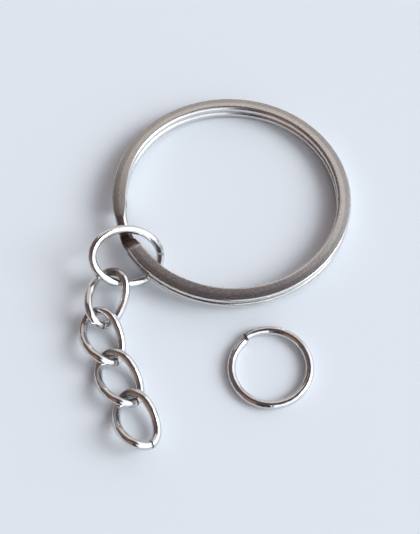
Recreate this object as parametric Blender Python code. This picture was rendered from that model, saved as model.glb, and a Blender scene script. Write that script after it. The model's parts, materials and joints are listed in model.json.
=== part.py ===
"""Split key ring with a connector ring, a four-link curb chain and a spare jump ring.

Everything lies as if put down on a table: +Z is up, z = 0 is the table, and the chain trails
towards -Y. The origin is under the middle of the whole set. Lengths below are in millimetres
and are turned into metres where the meshes are made.
"""

import math

import bpy
from mathutils import Matrix, Vector

MM = 0.001

# The split ring: one flat-ground wire wound into two turns that lie on each other.
RING_OUTER_RADIUS = 15.0
COIL_WIRE_WIDTH = 1.75
COIL_WIRE_HEIGHT = 0.97
COIL_TURN_GAP = 0.06
COIL_CHAMFER = 0.28
COIL_RADIUS = RING_OUTER_RADIUS - COIL_WIRE_WIDTH / 2
COIL_PITCH = COIL_WIRE_HEIGHT + COIL_TURN_GAP
RING_CENTRE = Vector((1.78, 8.62, 0.59))
RING_TILT = 2.2          # degrees: the ring's chain side is propped up by the connector's wire
RING_TILT_TOWARDS = 42.0

# Angles along the wire in degrees, counted anticlockwise from +X. The upper turn runs from its
# free end to the step, and the lower turn from the step to its own end under the upper turn.
FREE_END = 207.0
FLEX_ROOT = 272.0        # the upper turn bends here when its free end is pried up
FLEX_GAP = 0.25
STEP_START = 360.0 + 187.0
STEP_END = 360.0 + 204.0
LOWER_END = 720.0 + 184.0
COIL_STEP = 6.0

# The coil isn't a true circle: it draws in before and after the step, and at its free end.
STEP_INSET = 0.24
STEP_INSET_AT = 360.0 + 180.0
STEP_INSET_REACH_BEFORE = 40.0
STEP_INSET_REACH_AFTER = 24.0
FREE_END_INSET = 0.16
FREE_END_INSET_REACH = 16.0

# The connector ring: round wire, squeezed slightly oval, threaded round both turns.
CONNECTOR_WIRE = 1.0
CONNECTOR_RADII = (4.36, 3.31)
CONNECTOR_CENTRE = Vector((-11.04, 0.17, 2.71))
CONNECTOR_TURN = 6.7     # degrees from +X to the oval's long axis
CONNECTOR_TILT = 35.2
CONNECTOR_TILT_TOWARDS = 317.7
CONNECTOR_CUT = 2.0
CONNECTOR_CUT_WIDTH = 2.4

# The chain: four curb links of one shape, each an oval of round wire with a twist in it.
LINK_WIRE = 1.0
LINK_HALF_LENGTH = 3.386
LINK_HALF_WIDTH = 2.113
LINK_TWIST = 0.75        # height of the raised quarters of the oval above its middle
LINK_CUT = 168.0
LINK_CUT_WIDTH = 2.0
# centre, then yaw, pitch and roll in degrees
LINK_PLACES = (
    (Vector((-13.47, -4.90, 2.06)), (-15.4, 5.0, 15.8)),
    (Vector((-13.95, -9.76, 1.52)), (19.7, 0.9, 7.9)),
    (Vector((-12.01, -14.93, 1.28)), (27.1, -2.0, 3.2)),
    (Vector((-10.02, -20.00, 1.58)), (22.0, -7.6, 0.7)),
)
# where each link bears on the piece before it
LINK_PIVOTS = (
    Vector((-13.00, -2.95, 1.5)),
    Vector((-13.73, -7.36, 1.5)),
    Vector((-12.68, -12.43, 1.5)),
    Vector((-10.37, -17.42, 1.5)),
)

# The spare jump ring: round wire with its cut ends slightly out of line.
JUMP_WIRE = 1.0
JUMP_RADIUS = 4.55
JUMP_CENTRE = Vector((5.40, -13.92, 0.5))
JUMP_CUT = 126.0
JUMP_CUT_WIDTH = 5.0
JUMP_SPREAD = 0.25       # how much further out one end lies than the other
JUMP_LIFT = 0.20         # how much higher that end lies

ROUND_POINTS = 44
ROUND_BEVEL_RESOLUTION = 2


def remove_everything():
    """Start from an empty scene."""
    for thing in list(bpy.data.objects):
        bpy.data.objects.remove(thing, do_unlink=True)


def metal(name, colour, roughness):
    """A bare metal material."""
    material = bpy.data.materials.new(name)
    material.use_nodes = True
    shader = material.node_tree.nodes["Principled BSDF"]
    shader.inputs["Base Color"].default_value = (*colour, 1.0)
    shader.inputs["Metallic"].default_value = 1.0
    shader.inputs["Roughness"].default_value = roughness
    return material


def lean(degrees, towards):
    """Rotation that tips the vertical by some degrees towards a compass direction."""
    heading = math.radians(towards)
    hinge = Vector((-math.sin(heading), math.cos(heading), 0.0))
    return Matrix.Rotation(math.radians(degrees), 4, hinge)


def link_rotation(yaw, pitch, roll):
    """A link's attitude: roll about its length, then pitch, then yaw about the vertical."""
    return (Matrix.Rotation(math.radians(yaw), 4, "Z")
            @ Matrix.Rotation(math.radians(pitch), 4, "X")
            @ Matrix.Rotation(math.radians(roll), 4, "Y"))


def angles_between(start, end, count):
    """Evenly spaced angles from start to end, both included."""
    return [start + (end - start) * index / (count - 1) for index in range(count)]


def path_object(name, points, material):
    """A curve object along points given in millimetres, with filled ends."""
    curve = bpy.data.curves.new(name, "CURVE")
    curve.dimensions = "3D"
    curve.use_fill_caps = True
    curve.render_resolution_u = 0
    spline = curve.splines.new("POLY")
    spline.points.add(len(points) - 1)
    for target, point in zip(spline.points, points):
        target.co = (*(point * MM), 1.0)
    curve.materials.append(material)
    piece = bpy.data.objects.new(name, curve)
    bpy.context.collection.objects.link(piece)
    return piece


def round_wire(name, points, pivot, diameter, material):
    """A bent round wire whose object origin is at its pivot."""
    piece = path_object(name, [point - pivot for point in points], material)
    piece.data.bevel_depth = diameter / 2 * MM
    piece.data.bevel_resolution = ROUND_BEVEL_RESOLUTION
    piece.location = pivot * MM
    return piece


def coil_section():
    """Cross-section of the split ring's wire: a flat strip with bevelled corners."""
    half_width = COIL_WIRE_WIDTH / 2
    half_height = COIL_WIRE_HEIGHT / 2
    corners = [
        (half_width, -half_height + COIL_CHAMFER),
        (half_width - COIL_CHAMFER, -half_height),
        (-half_width + COIL_CHAMFER, -half_height),
        (-half_width, -half_height + COIL_CHAMFER),
        (-half_width, half_height - COIL_CHAMFER),
        (-half_width + COIL_CHAMFER, half_height),
        (half_width - COIL_CHAMFER, half_height),
        (half_width, half_height - COIL_CHAMFER),
    ]
    curve = bpy.data.curves.new("coil_section", "CURVE")
    curve.dimensions = "2D"
    spline = curve.splines.new("POLY")
    spline.points.add(len(corners) - 1)
    spline.use_cyclic_u = True
    for target, (across, up) in zip(spline.points, corners):
        target.co = (across * MM, up * MM, 0.0, 1.0)
    section = bpy.data.objects.new("coil_section", curve)
    bpy.context.collection.objects.link(section)
    section.hide_render = True
    section.display_type = "WIRE"
    return section


def coil_radius(angle):
    """Radius of the middle of the split ring's wire at an angle."""
    from_step = angle - STEP_INSET_AT
    if from_step > 180.0:
        from_step -= 360.0                       # the lower turn's end lies under the inset
    reach = STEP_INSET_REACH_BEFORE if from_step < 0.0 else STEP_INSET_REACH_AFTER
    at_step = STEP_INSET * math.exp(-((from_step / reach) ** 2))
    at_free_end = FREE_END_INSET * math.exp(-((angle - FREE_END) / FREE_END_INSET_REACH) ** 2)
    return COIL_RADIUS - at_step - at_free_end


def coil_point(angle):
    """Middle of the split ring's wire at an angle, in the ring's own upright frame."""
    along_step = min(max((angle - STEP_START) / (STEP_END - STEP_START), 0.0), 1.0)
    drop = along_step * along_step * (3.0 - 2.0 * along_step)
    height = COIL_WIRE_HEIGHT / 2 + COIL_PITCH * (1.0 - drop)
    turn = math.radians(angle)
    radius = coil_radius(angle)
    return Vector((radius * math.cos(turn), radius * math.sin(turn), height))


def coil_piece(name, start, end, pivot, section, material):
    """A stretch of the split ring's wire, tipped with the ring, with its origin at pivot."""
    count = round((end - start) / COIL_STEP) + 1
    points = [coil_point(angle) - pivot for angle in angles_between(start, end, count)]
    piece = path_object(name, points, material)
    piece.data.twist_mode = "Z_UP"
    piece.data.bevel_mode = "OBJECT"
    piece.data.bevel_object = section
    tilt = lean(RING_TILT, RING_TILT_TOWARDS)
    place = (RING_CENTRE + tilt @ pivot) * MM
    piece.matrix_world = Matrix.Translation(place) @ tilt
    return piece


def flex_pivot():
    """Top edge of the upper turn where it bends, in the ring's own frame."""
    middle = coil_point(FLEX_ROOT)
    return middle + Vector((0.0, 0.0, COIL_WIRE_HEIGHT / 2))


def make_split_ring(material):
    """The coil, and the stretch of its upper turn that lifts to let a key in."""
    section = coil_section()
    ring_middle = Vector((0.0, 0.0, 0.0))
    coil_piece("split_ring_coil", FLEX_ROOT + FLEX_GAP, LOWER_END, ring_middle, section, material)
    coil_piece("split_ring_free_end", FREE_END, FLEX_ROOT, flex_pivot(), section, material)


def connector_points():
    """Middle line of the connector ring's wire, from one cut end round to the other."""
    half_cut = CONNECTOR_CUT_WIDTH / 2
    start = CONNECTOR_CUT + half_cut
    end = CONNECTOR_CUT + 360 - half_cut
    turned = Matrix.Rotation(math.radians(CONNECTOR_TURN), 4, "Z")
    tipped = lean(CONNECTOR_TILT, CONNECTOR_TILT_TOWARDS)
    points = []
    for angle in angles_between(start, end, ROUND_POINTS):
        turn = math.radians(angle)
        flat = Vector((CONNECTOR_RADII[0] * math.cos(turn), CONNECTOR_RADII[1] * math.sin(turn), 0.0))
        points.append(CONNECTOR_CENTRE + tipped @ turned @ flat)
    return points


def link_points(centre, attitude):
    """Middle line of one curb link's wire. Opposite quarters of the oval rise and dip."""
    half_cut = LINK_CUT_WIDTH / 2
    rotation = link_rotation(*attitude)
    points = []
    for angle in angles_between(LINK_CUT + half_cut, LINK_CUT + 360 - half_cut, ROUND_POINTS):
        turn = math.radians(angle)
        shape = Vector((
            LINK_HALF_WIDTH * math.sin(turn),
            LINK_HALF_LENGTH * math.cos(turn),
            LINK_TWIST * math.sin(2.0 * turn),
        ))
        points.append(centre + rotation @ shape)
    return points


def jump_ring_points():
    """Middle line of the spare ring, which spirals out and up a little towards one end."""
    half_cut = JUMP_CUT_WIDTH / 2
    points = []
    start = JUMP_CUT + half_cut
    end = JUMP_CUT + 360 - half_cut
    for angle in angles_between(start, end, ROUND_POINTS):
        along = (angle - start) / (end - start)
        radius = JUMP_RADIUS + JUMP_SPREAD * (along - 0.5)
        turn = math.radians(angle)
        points.append(JUMP_CENTRE + Vector((
            radius * math.cos(turn),
            radius * math.sin(turn),
            JUMP_LIFT * along,
        )))
    return points


def make_connector(material):
    """The connector ring turns about the split ring's axis, so its origin is on that axis."""
    round_wire("connector_ring", connector_points(), RING_CENTRE, CONNECTOR_WIRE, material)


def make_chain(material):
    """The four curb links, each with its origin where it bears on the piece before it."""
    for number, (place, pivot) in enumerate(zip(LINK_PLACES, LINK_PIVOTS), start=1):
        centre, attitude = place
        round_wire(f"chain_link_{number}", link_points(centre, attitude), pivot, LINK_WIRE, material)


def make_spare_jump_ring(material):
    """The loose ring that a charm or a fob is hung with."""
    round_wire("spare_jump_ring", jump_ring_points(), JUMP_CENTRE, JUMP_WIRE, material)


remove_everything()
make_split_ring(metal("ground_nickel", (0.56, 0.54, 0.51), 0.32))
make_connector(metal("connector_nickel", (0.70, 0.68, 0.65), 0.16))
make_chain(metal("chain_nickel", (0.68, 0.66, 0.62), 0.20))
make_spare_jump_ring(metal("jump_ring_nickel", (0.70, 0.68, 0.65), 0.16))
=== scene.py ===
"""Looks of the split key ring: nickel-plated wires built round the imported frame.

Lengths named _MM are millimetres; everything handed to Blender is in metres.
"""

import json
import math

import bpy
import numpy as np
from mathutils import Matrix, Vector


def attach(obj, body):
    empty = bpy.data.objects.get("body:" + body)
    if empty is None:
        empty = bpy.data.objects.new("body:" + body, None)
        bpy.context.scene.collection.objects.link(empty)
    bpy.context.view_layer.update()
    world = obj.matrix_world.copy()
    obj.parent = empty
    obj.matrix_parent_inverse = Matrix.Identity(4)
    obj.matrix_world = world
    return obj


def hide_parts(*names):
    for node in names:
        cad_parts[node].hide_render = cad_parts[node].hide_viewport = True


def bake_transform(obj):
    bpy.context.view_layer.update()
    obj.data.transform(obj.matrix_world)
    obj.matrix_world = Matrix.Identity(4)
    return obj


MM = 0.001

# The split ring's wire, as in the CAD: an angle runs along the upper turn from its free end,
# down the step and round the lower turn.
RING_OUTER_RADIUS_MM = 15.0
COIL_WIDTH_MM = 1.75
COIL_HEIGHT_MM = 0.97
COIL_GAP_MM = 0.06
COIL_RADIUS_MM = RING_OUTER_RADIUS_MM - COIL_WIDTH_MM / 2
COIL_PITCH_MM = COIL_HEIGHT_MM + COIL_GAP_MM
COIL_STACK_MM = COIL_HEIGHT_MM + COIL_PITCH_MM
FREE_END = 207.0
NOSE_TIP = 206.5         # the free end's rounded nose reaches a little further
WIRE_JOIN = 276.0        # where the two pieces of the ring's wire meet
STEP_START = 360.0 + 187.0
STEP_END = 360.0 + 204.0
LOWER_END = 720.0 + 184.0

# The coil isn't a true circle: it draws in before and after the step, and at its free end.
STEP_INSET_MM = 0.24
STEP_INSET_AT = 360.0 + 180.0
STEP_INSET_REACH_BEFORE = 40.0
STEP_INSET_REACH_AFTER = 24.0
FREE_END_INSET_MM = 0.16
FREE_END_INSET_REACH = 16.0

# The wire before grinding is a plump oval. The wheel cuts a flat on it, wider on the left.
RAW_HALF_HEIGHT_MM = 0.56
RAW_SQUARENESS = 2.4
STEP_RAW_HALF_HEIGHT_MM = 0.70
STEP_RAW_SQUARENESS = 4.2
STEP_WIDENING_REACH = 34.0
FRONT_RAW_HALF_HEIGHT_MM = 0.60
FRONT_RAW_SQUARENESS = 4.0
FRONT_WIDENING_AT = 236.0
FRONT_WIDENING_REACH = 46.0
STEP_ROUND_SQUARENESS = 2.1
STEP_ROUND_LEAD = 8.0            # degrees before the step where the wire starts to turn round
STEP_ROUND_IN = 14.0
STEP_ROUND_OUT = 6.0
STEP_PINCH_MM = 0.13
STEP_PINCH_AT = 360.0 + 195.0
STEP_PINCH_REACH = 10.0
GROUND_CROWN_MM = 0.02
GROUND_FALL = 0.09       # how steeply the ground face falls towards the outside
STEP_GROUND_FALL = 0.17
NOSE_LENGTH_MM = 1.4
NOSE_DROP_MM = 0.50
NOSE_PINCH_MM = 0.20

# The connector ring, as in the CAD, but its cut is drawn narrower.
CONNECTOR_WIRE_MM = 1.0
CONNECTOR_RADII_MM = (4.36, 3.31)
CONNECTOR_CENTRE_MM = Vector((-11.04, 0.17, 2.71))
CONNECTOR_TURN = 6.7
CONNECTOR_TILT = 35.2
CONNECTOR_TILT_TOWARDS = 317.7
CONNECTOR_CUT = 2.0
CONNECTOR_CUT_WIDTH = 0.7

# The curb links, as in the CAD, but their cuts are drawn narrower. A place is a centre, then yaw,
# pitch and roll in degrees.
LINK_WIRE_MM = 1.0
LINK_HALF_LENGTH_MM = 3.386
LINK_HALF_WIDTH_MM = 2.113
LINK_TWIST_MM = 0.75
LINK_CUT = 168.0
LINK_CUT_WIDTH = 1.2
LINK_PLACES = (
    (Vector((-13.47, -4.90, 2.06)), (-15.4, 5.0, 15.8)),
    (Vector((-13.95, -9.76, 1.52)), (19.7, 0.9, 7.9)),
    (Vector((-12.01, -14.93, 1.28)), (27.1, -2.0, 3.2)),
    (Vector((-10.02, -20.00, 1.58)), (22.0, -7.6, 0.7)),
)

# The spare jump ring, as in the CAD, but its cut is drawn narrower.
JUMP_WIRE_MM = 1.0
JUMP_RADIUS_MM = 4.55
JUMP_CENTRE_MM = Vector((5.40, -13.92, 0.5))
JUMP_CUT = 126.0
JUMP_CUT_WIDTH = 2.6
JUMP_SPREAD_MM = 0.25
JUMP_LIFT_MM = 0.20

# How finely the wires are meshed.
COIL_DEGREES_PER_SECTION = 1.0
COIL_SIDES = 48
ROUND_SECTIONS = 220
ROUND_SIDES = 32
END_ROUNDING = ((0.00, 0.82), (0.04, 0.90), (0.09, 0.96), (0.16, 1.0))   # mm from the end, scale
SHARP_ANGLE = math.radians(38)

# Where the pliers held the round wires next to their cuts, as directions round the wire.
PINCH_MARKS = (-30.0, 62.0, 122.0, 175.0)
PINCH = (1.6, 0.04)              # mm: how far from the cut, how deep at it
CONNECTOR_PINCH = (4.5, 0.09)

# Where painted shade darkens the split ring's top face most, on its left before the step, and where
# its step is coloured dark brown, both as distances along the wire from the end of the lower turn.
LEFT_SHADE_AT_MM = math.radians(LOWER_END - 360.0 - 176.0) * COIL_RADIUS_MM
LEFT_SHADE_REACH_MM = 13.0
DARK_STEP_AT_MM = math.radians(LOWER_END - 360.0 - 204.5) * COIL_RADIUS_MM
DARK_STEP_REACH_MM = 1.4
DARK_BROWN_COLOUR = (0.085, 0.052, 0.047)

# Each link gets painted shade, dark brown on the plate, at the end where it hangs in the shade of
# the piece before it.
LINK_PAINTED_SHADE_AT_MM = 9.8
LINK_SHADE_REACH_MM = (0.55, 1.15)
LINK_SHADE_COLOUR = (0.13, 0.10, 0.09)

# The metals and the table top.
PLATE_COLOURS = ((0.62, 0.60, 0.585), (0.74, 0.73, 0.72))
PLATE_ROUGHNESS = (0.08, 0.17)
PLATE_BUMP = (1.0, 0.00006)              # strength, then height in metres
SHEARED_REACH_MM = (0.05, 0.15)          # the dull face of a cut end
GROUND_COLOURS = ((0.53, 0.505, 0.487), (0.67, 0.645, 0.622))
GROUND_ROUGHNESS = (0.23, 0.31)
GROUND_BUMP = (0.35, 0.00002)
FLANK_COLOUR = (0.72, 0.70, 0.68)
FLANK_FROM = (0.84, 0.95)                # places across the wire, from 0 to 1
DULL_FROM = (-0.02, 0.22)
DARK_NOSE_MM = (0.75, 1.25)
DARK_STEP_FULL_MM = 0.5
NOISE_MIDDLE = (0.3, 0.7)                # the range that most of a noise lies in
TABLE_COLOUR = (0.78, 0.82, 0.865, 1.0)
TABLE_ROUGHNESS = 0.6
TABLE_SIZE = 4.0

# The camera: aimed at a point on the table, from in front and above.
CAMERA_TARGET_MM = Vector((-1.10, -0.25, 0.0))
CAMERA_DISTANCE_MM = 118.4
CAMERA_ELEVATION = 62.5
CAMERA_ROLL = -2.1
CAMERA_FOCAL_HEIGHTS = 1.81086   # focal length over the picture's height
SENSOR_HEIGHT_MM = 24.0
CAMERA_CLIP_START = 0.005

# The room that the metal reflects: compass degrees from +X, and the colour seen there below the
# ceiling. The window runs round the right; the camera stands in the dark part in front.
DARK_WALL = (0.175, 0.125, 0.118)
BROWN_WALL = (0.34, 0.23, 0.17)
CAMERA_SHADE = (0.05, 0.04, 0.045)
WINDOW = (1.40, 1.51, 1.64)
BACK_WALL = (0.80, 0.755, 0.735)
ROOM_COLOURS = (
    (-180, DARK_WALL),
    (-165, DARK_WALL),
    (-155, BROWN_WALL),
    (-125, BROWN_WALL),
    (-118, CAMERA_SHADE),
    (-91, CAMERA_SHADE),
    (-87, WINDOW),
    (47, WINDOW),
    (50, BACK_WALL),
    (112, BACK_WALL),
    (126, DARK_WALL),
    (180, DARK_WALL),
)
CEILING_FROM = math.radians(57)
CEILING_FULL = math.radians(62)
CEILING_COLOUR = (0.115, 0.085, 0.098)
KEY_COMPASS = math.radians(-8)
KEY_ELEVATION = math.radians(34)
KEY_FROM = math.cos(math.radians(20))
KEY_FULL = math.cos(math.radians(11))
KEY_COLOUR = (9.4, 9.8, 10.2)


# ---------------------------------------------------------------- wires

def smooth_step(value):
    """0 below 0, 1 above 1, and a smooth rise between."""
    value = min(max(value, 0.0), 1.0)
    return value * value * (3.0 - 2.0 * value)


def unit(vectors):
    """Rows scaled to length 1."""
    return vectors / np.linalg.norm(vectors, axis=-1, keepdims=True)


def wire_mesh(name, middle, up, section, from_end, along_start=0.0):
    """A closed tube along the points of middle, given in millimetres.

    section(index, along, length) gives the outline there as (across, up) offsets in millimetres,
    and from_end(along, length) how far the nearest cut end is. The mesh gets two UV maps: WireUV
    in millimetres along the wire and round it, and EndUV with the distance from a cut end and
    the place across the wire, from -1 to 1.
    """
    middle = np.array([tuple(point) for point in middle])
    tangent = unit(np.gradient(middle, axis=0))
    across = unit(np.cross(tangent, np.array(tuple(up))))
    over = np.cross(across, tangent)
    along = np.concatenate([[0.0], np.cumsum(np.linalg.norm(np.diff(middle, axis=0), axis=1))])
    rings = []
    widths = []
    for index in range(len(middle)):
        outline = section(index, along[index], along[-1])
        widths.append(outline[:, 0] / np.abs(outline[:, 0]).max())
        rings.append(middle[index] + outline[:, :1] * across[index] + outline[:, 1:] * over[index])
    sides = len(rings[0])
    count = len(rings)
    vertices = np.concatenate(rings + [[rings[0].mean(axis=0)], [rings[-1].mean(axis=0)]]) * MM
    first_centre, last_centre = count * sides, count * sides + 1
    faces = []
    uvs = []
    end_uvs = []
    round_step = math.pi * LINK_WIRE_MM / sides
    distances = [from_end(value, along[-1]) for value in along]

    def add_face(corners):
        """A face from (section, side) pairs, with its UVs; side None is the middle of an end."""
        if len(corners) == 4:
            faces.append([index * sides + side % sides for index, side in corners])
        else:
            centre = first_centre if corners[0][0] == 0 else last_centre
            faces.append([
                centre if side is None else index * sides + side % sides
                for index, side in corners
            ])
        highest = max(side for _, side in corners if side is not None)
        for index, side in corners:
            place = highest - 0.5 if side is None else side
            uvs.append((along_start + along[index], place * round_step))
            place_across = 0.0 if side is None else widths[index][side % sides]
            end_uvs.append((distances[index], place_across))

    for side in range(sides):
        add_face([(0, None), (0, side + 1), (0, side)])
        add_face([(count - 1, None), (count - 1, side), (count - 1, side + 1)])
        for index in range(count - 1):
            add_face([(index, side), (index, side + 1), (index + 1, side + 1), (index + 1, side)])
    mesh = bpy.data.meshes.new(name)
    mesh.from_pydata(vertices.tolist(), [], faces)
    for layer_name, values in (("WireUV", uvs), ("EndUV", end_uvs)):
        layer = mesh.uv_layers.new(name=layer_name)
        layer.data.foreach_set("uv", np.array(values, dtype=np.float32).ravel())
    mesh.shade_smooth()
    mesh.set_sharp_from_angle(angle=SHARP_ANGLE)
    piece = bpy.data.objects.new(name, mesh)
    bpy.context.collection.objects.link(piece)
    return piece


def end_scale(along, length):
    """How much a section shrinks close to a cut end."""
    near = min(along, length - along)
    distances, scales = zip(*END_ROUNDING)
    return float(np.interp(near, distances, scales))


def with_end_points(parameters, length_mm):
    """Adds parameters close to both ends, so that the rounding of the cut has its own sections."""
    start, end = parameters[0], parameters[-1]
    per_mm = (end - start) / length_mm
    extra = [distance * per_mm for distance, _ in END_ROUNDING]
    near_ends = {start + step for step in extra} | {end - step for step in extra}
    return np.array(sorted(set(parameters) | near_ends))


def round_outline(radius, sides=ROUND_SIDES):
    """A circle as offsets across and up."""
    turn = np.linspace(0, 2 * math.pi, sides, endpoint=False)
    return np.stack([radius * np.cos(turn), radius * np.sin(turn)], axis=1)


def pinched(outline, depth):
    """The outline with flats where the pliers held it, depth deep."""
    radius = np.abs(outline).max()
    for turn in PINCH_MARKS:
        facing = np.array([math.cos(math.radians(turn)), math.sin(math.radians(turn))])
        beyond = np.maximum(outline @ facing - (radius - depth), 0.0)
        outline = outline - beyond[:, None] * facing
    return outline


# ---------------------------------------------------------------- split ring

def coil_height(angle):
    """Height of the wire's middle above the ring's underside."""
    drop = smooth_step((angle - STEP_START) / (STEP_END - STEP_START))
    return COIL_HEIGHT_MM / 2 + COIL_PITCH_MM * (1.0 - drop)


def bell(angle, middle, reach):
    """1 at the middle, fading to 0 some way past the reach."""
    return math.exp(-((angle - middle) / reach) ** 2)


def coil_radius(angle):
    """Radius of the middle of the wire at an angle."""
    from_step = angle - STEP_INSET_AT
    if from_step > 180.0:
        from_step -= 360.0                   # the lower turn's end lies under the inset
    at_step = STEP_INSET_MM * bell(
        from_step, 0.0, STEP_INSET_REACH_BEFORE if from_step < 0.0 else STEP_INSET_REACH_AFTER)
    at_free_end = FREE_END_INSET_MM * bell(angle, FREE_END, FREE_END_INSET_REACH)
    return COIL_RADIUS_MM - at_step - at_free_end


def blend(low, high, share):
    """A value between two."""
    return low + (high - low) * share


def coil_outline(angle, scale):
    """Outline of the ground wire at an angle along the coil."""
    turn = np.linspace(0, 2 * math.pi, COIL_SIDES, endpoint=False)
    widened = bell(angle, STEP_START, STEP_WIDENING_REACH)
    in_front = bell(angle, FRONT_WIDENING_AT, FRONT_WIDENING_REACH)
    in_step = (smooth_step((angle - STEP_START + STEP_ROUND_LEAD) / STEP_ROUND_IN)
               * smooth_step((STEP_END + STEP_ROUND_OUT - angle) / STEP_ROUND_OUT))
    from_tip = math.radians(angle - NOSE_TIP) * COIL_RADIUS_MM
    in_nose = 1.0 - smooth_step(from_tip / NOSE_LENGTH_MM)
    raw_height = blend(RAW_HALF_HEIGHT_MM, STEP_RAW_HALF_HEIGHT_MM, widened)
    raw_height = blend(raw_height, FRONT_RAW_HALF_HEIGHT_MM, in_front)
    squareness = blend(RAW_SQUARENESS, STEP_RAW_SQUARENESS, widened)
    inner_squareness = blend(squareness, FRONT_RAW_SQUARENESS, in_front)
    squareness = np.where(np.cos(turn) > 0.0, squareness, inner_squareness)
    power = 2.0 / blend(squareness, STEP_ROUND_SQUARENESS, in_step)
    half_width = COIL_WIDTH_MM / 2 - STEP_PINCH_MM * bell(angle, STEP_PINCH_AT, STEP_PINCH_REACH)
    half_width -= NOSE_PINCH_MM * in_nose
    across = half_width * np.sign(np.cos(turn)) * np.abs(np.cos(turn)) ** power
    up = raw_height * np.sign(np.sin(turn)) * np.abs(np.sin(turn)) ** power
    middle = coil_height(angle)
    pressed = blend(COIL_HEIGHT_MM / 2, raw_height, in_step)
    crown = GROUND_CROWN_MM * (1.0 - (across / half_width) ** 2)
    top = np.minimum(pressed, COIL_STACK_MM - middle) + crown - GROUND_CROWN_MM
    top = top - blend(GROUND_FALL, STEP_GROUND_FALL, widened) * (across + half_width / 2)
    bottom = np.maximum(-min(pressed, COIL_HEIGHT_MM / 2), -middle) - crown + GROUND_CROWN_MM
    up = np.clip(up, bottom, top)
    up = np.where(up > 0, up * (1.0 - NOSE_DROP_MM / COIL_HEIGHT_MM * 2 * in_nose), up)
    return np.stack([across, up], axis=1) * scale


def coil_wire(name, start, end, cut_start, cut_end, ring_matrix):
    """A stretch of the split ring's wire. A cut end is rounded; the other is left square."""
    length = math.radians(end - start) * COIL_RADIUS_MM
    angles = np.linspace(start, end, round((end - start) / COIL_DEGREES_PER_SECTION) + 1)
    angles = with_end_points(angles, length)
    middle = [
        (coil_radius(a) * math.cos(math.radians(a)), coil_radius(a) * math.sin(math.radians(a)),
         coil_height(a))
        for a in angles
    ]

    def section(index, along, total):
        scale = 1.0
        if cut_start and along < total / 2:
            scale = end_scale(along, total)
        if cut_end and along > total / 2:
            scale = end_scale(along, total)
        return coil_outline(angles[index], scale)

    def from_end(along, total):
        near = [along] if cut_start else []
        near += [total - along] if cut_end else []
        return min(near)

    along_start = math.radians(start - NOSE_TIP) * COIL_RADIUS_MM
    piece = wire_mesh(name, middle, (0.0, 0.0, 1.0), section, from_end, along_start)
    piece.data.transform(ring_matrix)
    return piece


def make_split_ring(ring_matrix, material):
    """Both pieces of the ring's one wire."""
    coil = coil_wire("split_ring_wire", WIRE_JOIN, LOWER_END, False, True, ring_matrix)
    coil.data.materials.append(material)
    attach(coil, "split_ring")
    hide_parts("split_ring_coil")

    free_end = coil_wire("split_ring_free_end_wire", NOSE_TIP, WIRE_JOIN, True, False, ring_matrix)
    free_end.data.materials.append(material)
    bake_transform(free_end)
    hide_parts("split_ring_free_end")


# ---------------------------------------------------------------- round wires

def make_round_wire(name, body, node, middle_at, start, end, length, up, diameter, material,
                    pinch=PINCH):
    """A cut wire whose middle line is middle_at(angle), from start to end in degrees.

    Lengths are in millimetres; length is roughly the wire's own.
    """
    angles = with_end_points(np.linspace(start, end, ROUND_SECTIONS), length)
    outline = round_outline(diameter / 2)

    def section(index, along, total):
        depth = pinch[1] * (1.0 - smooth_step(min(along, total - along) / pinch[0]))
        return pinched(outline, depth) * end_scale(along, total)

    piece = wire_mesh(name, [middle_at(angle) for angle in angles], up, section,
                      lambda along, total: min(along, total - along))
    piece.data.materials.append(material)
    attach(piece, body)
    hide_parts(node)


def lean(degrees, towards):
    """Rotation that tips the vertical by some degrees towards a compass direction."""
    heading = math.radians(towards)
    axis = Vector((-math.sin(heading), math.cos(heading), 0))
    return Matrix.Rotation(math.radians(degrees), 3, axis)


def make_connector(material):
    """The oval ring that ties the chain to the split ring."""
    attitude = lean(CONNECTOR_TILT, CONNECTOR_TILT_TOWARDS) @ Matrix.Rotation(
        math.radians(CONNECTOR_TURN), 3, "Z")
    half_cut = CONNECTOR_CUT_WIDTH / 2

    def middle_at(angle):
        turn = math.radians(angle)
        flat = Vector((CONNECTOR_RADII_MM[0] * math.cos(turn),
                       CONNECTOR_RADII_MM[1] * math.sin(turn), 0))
        return CONNECTOR_CENTRE_MM + attitude @ flat

    make_round_wire("connector_ring_wire", "connector", "connector_ring",
                    middle_at, CONNECTOR_CUT + half_cut, CONNECTOR_CUT + 360 - half_cut,
                    math.pi * sum(CONNECTOR_RADII_MM), attitude.col[2], CONNECTOR_WIRE_MM, material,
                    CONNECTOR_PINCH)


def make_links(material):
    """The four twisted curb links."""
    half_cut = LINK_CUT_WIDTH / 2
    for number, (centre, (yaw, pitch, roll)) in enumerate(LINK_PLACES, start=1):
        attitude = (Matrix.Rotation(math.radians(yaw), 3, "Z")
                    @ Matrix.Rotation(math.radians(pitch), 3, "X")
                    @ Matrix.Rotation(math.radians(roll), 3, "Y"))

        def middle_at(angle, centre=centre, attitude=attitude):
            turn = math.radians(angle)
            return centre + attitude @ Vector((
                LINK_HALF_WIDTH_MM * math.sin(turn),
                LINK_HALF_LENGTH_MM * math.cos(turn),
                LINK_TWIST_MM * math.sin(2 * turn),
            ))

        make_round_wire(f"chain_link_{number}_wire", f"link_{number}", f"chain_link_{number}",
                        middle_at, LINK_CUT + half_cut, LINK_CUT + 360 - half_cut,
                        math.pi * (LINK_HALF_LENGTH_MM + LINK_HALF_WIDTH_MM), attitude.col[2],
                        LINK_WIRE_MM, material)


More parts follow.
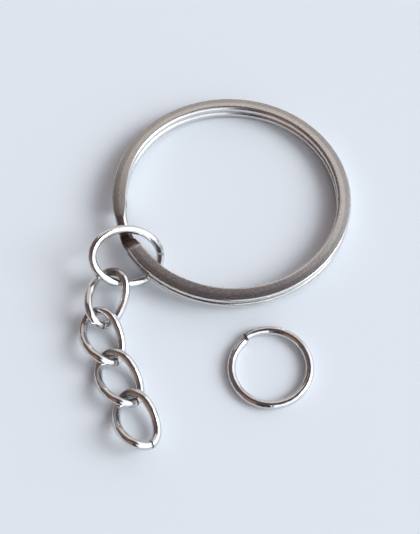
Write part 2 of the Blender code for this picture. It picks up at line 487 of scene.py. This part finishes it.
def make_jump_ring(material):
    """The loose ring, whose cut ends have sprung slightly out of line."""
    start = JUMP_CUT + JUMP_CUT_WIDTH / 2
    end = JUMP_CUT + 360 - JUMP_CUT_WIDTH / 2

    def middle_at(angle):
        share = (angle - start) / (end - start)
        radius = JUMP_RADIUS_MM + JUMP_SPREAD_MM * (share - 0.5)
        turn = math.radians(angle)
        return JUMP_CENTRE_MM + Vector((radius * math.cos(turn), radius * math.sin(turn),
                                        JUMP_LIFT_MM * share))

    make_round_wire("spare_jump_ring_wire", "spare_ring", "spare_jump_ring",
                    middle_at, start, end, 2 * math.pi * JUMP_RADIUS_MM, (0, 0, 1), JUMP_WIRE_MM,
                    material)


# ---------------------------------------------------------------- materials

class Nodes:
    """Short calls for building a material's node tree."""

    def __init__(self, name):
        self.material = bpy.data.materials.new(name)
        self.material.use_nodes = True
        self.tree = self.material.node_tree
        self.shader = self.tree.nodes["Principled BSDF"]

    def add(self, kind, **settings):
        """Adds a node; settings are its properties, or inputs where the name says in_."""
        node = self.tree.nodes.new(kind)
        for key, value in settings.items():
            if key.startswith("in_"):
                node.inputs[key[3:].replace("_", " ").title()].default_value = value
            else:
                setattr(node, key, value)
        return node

    def link(self, source, target):
        """Joins an output to an input."""
        self.tree.links.new(source, target)

    def wire_position(self, along, around):
        """The wire's own coordinates, scaled along it and round it."""
        uv = self.add("ShaderNodeUVMap", uv_map="WireUV")
        scale = self.add("ShaderNodeMapping")
        scale.inputs["Scale"].default_value = (along, around, 1.0)
        self.link(uv.outputs["UV"], scale.inputs["Vector"])
        return scale.outputs["Vector"]

    def end_place(self):
        """Distance in millimetres from a cut end, and the place across the wire from -1 to 1."""
        uv = self.add("ShaderNodeUVMap", uv_map="EndUV")
        parts = self.add("ShaderNodeSeparateXYZ")
        self.link(uv.outputs["UV"], parts.inputs["Vector"])
        return parts.outputs["X"], parts.outputs["Y"]

    def ramp(self, value, *numbers):
        """Maps value from one range (first two numbers) to another (last two), and clamps it."""
        node = self.add("ShaderNodeMapRange")
        for key, number in zip(("From Min", "From Max", "To Min", "To Max"), numbers):
            node.inputs[key].default_value = number
        self.link(value, node.inputs["Value"])
        return node.outputs["Result"]

    def maths(self, operation, first, second=None):
        """A maths node; inputs are numbers or outputs."""
        return add_math(self.tree, operation, first, second)

    def darken(self, colour, factor):
        """Multiplies a colour by a grey value."""
        node = self.add("ShaderNodeMix", data_type="RGBA", blend_type="MULTIPLY")
        node.inputs[0].default_value = 1.0
        self.link(colour, node.inputs[6])
        self.link(factor, node.inputs[7])
        return node.outputs[2]

    def noise(self, vector, scale, detail=3.0):
        """A noise value between 0 and 1."""
        node = self.add("ShaderNodeTexNoise", in_scale=scale, in_detail=detail)
        self.link(vector, node.inputs["Vector"])
        return node.outputs["Fac"]

    def remap(self, value, low, high):
        """Spreads the middle of a noise over a range."""
        return self.ramp(value, *NOISE_MIDDLE, low, high)

    def object_position(self):
        """The position in the object's own space, in metres."""
        return self.add("ShaderNodeTexCoord").outputs["Object"]

    def blend_colour(self, factor, low, high):
        """A colour between two."""
        node = self.add("ShaderNodeMix", data_type="RGBA")
        node.inputs[6].default_value = (*low, 1.0)
        node.inputs[7].default_value = (*high, 1.0)
        self.link(factor, node.inputs[0])
        return node.outputs[2]

    def bump(self, height, strength, distance):
        """Wires a height into the shader's normal."""
        node = self.add("ShaderNodeBump", in_strength=strength, in_distance=distance)
        self.link(height, node.inputs["Height"])
        self.link(node.outputs["Normal"], self.shader.inputs["Normal"])


def bright_nickel(name, painted_shade_at=None):
    """Polished nickel plate with faint drawing marks, and dull sheared steel at the cut ends.

    The second argument is a place in millimetres along the wire where painted shade darkens the
    plate, which is also rougher there.
    """
    nodes = Nodes(name)
    nodes.shader.inputs["Metallic"].default_value = 1.0
    distance, _ = nodes.end_place()
    spots = nodes.noise(nodes.object_position(), 900.0, 4.0)
    colour = nodes.blend_colour(spots, *PLATE_COLOURS)
    colour = nodes.darken(colour, nodes.ramp(distance, *SHEARED_REACH_MM, 0.25, 1.0))
    hairlines = nodes.noise(nodes.wire_position(0.6, 14.0), 1.0)
    sheared = nodes.ramp(distance, *SHEARED_REACH_MM, 0.30, 0.0)
    roughness = nodes.maths("ADD", nodes.remap(hairlines, *PLATE_ROUGHNESS), sheared)
    # Painted shade: the plate is darkened where the link lies in the shade of the piece before it.
    if painted_shade_at is not None:
        along = nodes.add("ShaderNodeSeparateXYZ")
        nodes.link(nodes.wire_position(1.0, 1.0), along.inputs["Vector"])
        away = nodes.maths("SUBTRACT", along.outputs["X"], painted_shade_at)
        away = nodes.maths("ADD", nodes.maths("ABSOLUTE", away), nodes.remap(spots, -0.15, 0.15))
        painted_shade = nodes.ramp(away, *LINK_SHADE_REACH_MM, 0.85, 0.0)
        colour = mix_colours(nodes.tree, painted_shade, colour, LINK_SHADE_COLOUR)
        roughness = nodes.maths("ADD", roughness, nodes.ramp(away, *LINK_SHADE_REACH_MM, 0.20, 0.0))
    nodes.link(colour, nodes.shader.inputs["Base Color"])
    nodes.link(roughness, nodes.shader.inputs["Roughness"])
    waves = nodes.noise(nodes.wire_position(0.8, 1.3), 1.0, 2.0)
    nodes.bump(nodes.maths("ADD", waves, nodes.maths("MULTIPLY", hairlines, 0.10)), *PLATE_BUMP)
    return nodes.material


def ground_nickel(name):
    """Nickel over ground steel: satin, with fine grain along the wire and small dark pits.

    The outer half of the ground face is duller. Painted shade darkens the ground face on the left,
    before the step. The wire's two flanks keep their polish. The pressed end of the wire is
    coloured dark brown, and so is the corner of the step in front of it.
    """
    nodes = Nodes(name)
    nodes.shader.inputs["Metallic"].default_value = 1.0
    distance, across = nodes.end_place()
    clouds = nodes.noise(nodes.object_position(), 450.0, 4.0)
    grain = nodes.noise(nodes.wire_position(2.0, 17.0), 1.0, 4.0)
    pits = nodes.noise(nodes.wire_position(6.0, 9.0), 1.0, 2.0)
    edge = nodes.maths("ADD", across, nodes.remap(grain, -0.12, 0.12))
    dull = nodes.ramp(edge, *DULL_FROM, 0.0, 1.0)
    flank = nodes.ramp(nodes.maths("ABSOLUTE", across), *FLANK_FROM, 0.0, 1.0)
    colour = nodes.blend_colour(clouds, *GROUND_COLOURS)
    colour = nodes.darken(colour, nodes.remap(grain, 0.91, 1.05))
    colour = nodes.darken(colour, nodes.ramp(pits, 0.29, 0.38, 0.62, 1.0))
    colour = nodes.darken(colour, nodes.ramp(dull, 0.0, 1.0, 1.04, 0.72))
    # Painted shade: the ground face is darkened on the left of the ring, before the step.
    from_left_shade = nodes.maths("ABSOLUTE", nodes.maths("SUBTRACT", distance, LEFT_SHADE_AT_MM))
    colour = nodes.darken(colour, nodes.ramp(from_left_shade, 0.0, LEFT_SHADE_REACH_MM, 0.80, 1.0))
    colour = mix_colours(nodes.tree, flank, colour, FLANK_COLOUR)
    # The corner of the step in front of the pressed end is coloured dark brown.
    from_dark_step = nodes.maths("ABSOLUTE", nodes.maths("SUBTRACT", distance, DARK_STEP_AT_MM))
    dark_step = nodes.ramp(from_dark_step, DARK_STEP_FULL_MM, DARK_STEP_REACH_MM, 1.0, 0.0)
    colour = mix_colours(nodes.tree, dark_step, colour, DARK_BROWN_COLOUR)
    # The pressed end of the wire is coloured dark brown.
    dark_nose = nodes.ramp(distance, *DARK_NOSE_MM, 1.0, 0.0)
    colour = mix_colours(nodes.tree, dark_nose, colour, DARK_BROWN_COLOUR)
    nodes.link(colour, nodes.shader.inputs["Base Color"])
    polish = nodes.ramp(flank, 0.0, 1.0, 1.0, 0.5)
    roughness = nodes.maths("MULTIPLY", nodes.remap(grain, *GROUND_ROUGHNESS), polish)
    nodes.link(roughness, nodes.shader.inputs["Roughness"])
    height = nodes.maths("MULTIPLY", nodes.maths("ADD", grain, pits), polish)
    nodes.bump(height, *GROUND_BUMP)
    return nodes.material


# ---------------------------------------------------------------- stage

def make_floor():
    """A plain pale table top."""
    nodes = Nodes("table_paint")
    nodes.shader.inputs["Base Color"].default_value = TABLE_COLOUR
    nodes.shader.inputs["Roughness"].default_value = TABLE_ROUGHNESS
    bpy.ops.mesh.primitive_plane_add(size=TABLE_SIZE, location=(0, 0, 0))
    floor = bpy.context.object
    floor.name = "table"
    floor.data.materials.append(nodes.material)


def add_math(tree, operation, first, second=None, third=None):
    """A maths node; inputs are numbers or outputs."""
    node = tree.nodes.new("ShaderNodeMath")
    node.operation = operation
    for socket, value in zip(node.inputs, (first, second, third)):
        if isinstance(value, (int, float)):
            socket.default_value = value
        elif value is not None:
            tree.links.new(value, socket)
    return node.outputs[0]


def rise(tree, value, low, high):
    """0 below low, 1 above high, and a smooth rise between."""
    node = tree.nodes.new("ShaderNodeMapRange")
    node.interpolation_type = "SMOOTHSTEP"
    node.inputs["From Min"].default_value = low
    node.inputs["From Max"].default_value = high
    tree.links.new(value, node.inputs["Value"])
    return node.outputs["Result"]


def mix_colours(tree, factor, low, high):
    """A colour between two, each a triple or an output."""
    node = tree.nodes.new("ShaderNodeMix")
    node.data_type = "RGBA"
    for socket, value in ((node.inputs[6], low), (node.inputs[7], high)):
        if isinstance(value, tuple):
            socket.default_value = (*value, 1.0)
        else:
            tree.links.new(value, socket)
    tree.links.new(factor, node.inputs[0])
    return node.outputs[2]


def make_light():
    """A dim, warm room with a very wide window to the right, brightest in one part."""
    world = bpy.data.worlds.new("room")
    bpy.context.scene.world = world
    world.use_nodes = True
    tree = world.node_tree
    direction = tree.nodes.new("ShaderNodeTexCoord").outputs["Generated"]
    parts = tree.nodes.new("ShaderNodeSeparateXYZ")
    tree.links.new(direction, parts.inputs["Vector"])
    compass = add_math(tree, "ARCTAN2", parts.outputs["Y"], parts.outputs["X"])
    turned = add_math(tree, "MULTIPLY_ADD", compass, 0.5 / math.pi, 0.5)
    walls = tree.nodes.new("ShaderNodeValToRGB")
    elements = walls.color_ramp.elements
    while len(elements) < len(ROOM_COLOURS):
        elements.new(0.5)
    for index, (degrees, colour) in enumerate(ROOM_COLOURS):
        elements[index].position = degrees / 360 + 0.5
        elements[index].color = (*colour, 1.0)
    tree.links.new(turned, walls.inputs["Fac"])
    key = Vector((math.cos(KEY_COMPASS) * math.cos(KEY_ELEVATION),
                  math.sin(KEY_COMPASS) * math.cos(KEY_ELEVATION), math.sin(KEY_ELEVATION)))
    towards_key = tree.nodes.new("ShaderNodeVectorMath")
    towards_key.operation = "DOT_PRODUCT"
    towards_key.inputs[1].default_value = key
    tree.links.new(direction, towards_key.inputs[0])
    bright = rise(tree, towards_key.outputs["Value"], KEY_FROM, KEY_FULL)
    colour = mix_colours(tree, bright, walls.outputs["Color"], KEY_COLOUR)
    ceiling = rise(tree, parts.outputs["Z"], math.sin(CEILING_FROM), math.sin(CEILING_FULL))
    colour = mix_colours(tree, ceiling, colour, CEILING_COLOUR)
    tree.links.new(colour, tree.nodes["Background"].inputs["Color"])


def make_camera():
    """The camera, built from its own three axes so that the roll is plain."""
    elevation = math.radians(CAMERA_ELEVATION)
    back = Vector((0.0, -math.cos(elevation), math.sin(elevation)))
    right = Vector((1.0, 0.0, 0.0))
    up = back.cross(right)
    roll = math.radians(CAMERA_ROLL)
    rolled_right = right * math.cos(roll) + up * math.sin(roll)
    rolled_up = up * math.cos(roll) - right * math.sin(roll)
    data = bpy.data.cameras.new("camera")
    data.sensor_fit = "VERTICAL"
    data.sensor_height = SENSOR_HEIGHT_MM
    data.lens = CAMERA_FOCAL_HEIGHTS * SENSOR_HEIGHT_MM
    data.clip_start = CAMERA_CLIP_START
    camera = bpy.data.objects.new("camera", data)
    axes = Matrix((rolled_right, rolled_up, back)).transposed().to_4x4()
    place = (CAMERA_TARGET_MM + back * CAMERA_DISTANCE_MM) * MM
    camera.matrix_world = Matrix.Translation(place) @ axes
    bpy.context.collection.objects.link(camera)
    bpy.context.scene.camera = camera
    bpy.context.scene.view_settings.view_transform = "Standard"


def ring_frame(packed):
    """The split ring's own upright frame, from the axis that the connector ring travels about."""
    joint = next(j for j in packed["joints"] if j["name"] == "connector_travel")
    tilt = Vector((0, 0, 1)).rotation_difference(Vector(joint["axis"])).to_matrix().to_4x4()
    return Matrix.Translation(Vector(joint["pos_m"])) @ tilt


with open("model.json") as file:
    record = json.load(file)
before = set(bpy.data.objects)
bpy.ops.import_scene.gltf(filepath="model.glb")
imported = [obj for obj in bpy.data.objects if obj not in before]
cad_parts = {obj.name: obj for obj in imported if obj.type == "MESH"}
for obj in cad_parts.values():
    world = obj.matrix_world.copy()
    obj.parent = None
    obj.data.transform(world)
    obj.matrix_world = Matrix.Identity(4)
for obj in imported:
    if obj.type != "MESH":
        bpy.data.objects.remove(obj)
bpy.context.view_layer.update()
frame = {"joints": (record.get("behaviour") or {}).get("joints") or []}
polished = bright_nickel("bright_nickel")
make_split_ring(ring_frame(frame), ground_nickel("ground_nickel"))
make_connector(polished)
make_links(bright_nickel("link_nickel", LINK_PAINTED_SHADE_AT_MM))
make_jump_ring(polished)
make_floor()
make_light()
make_camera()
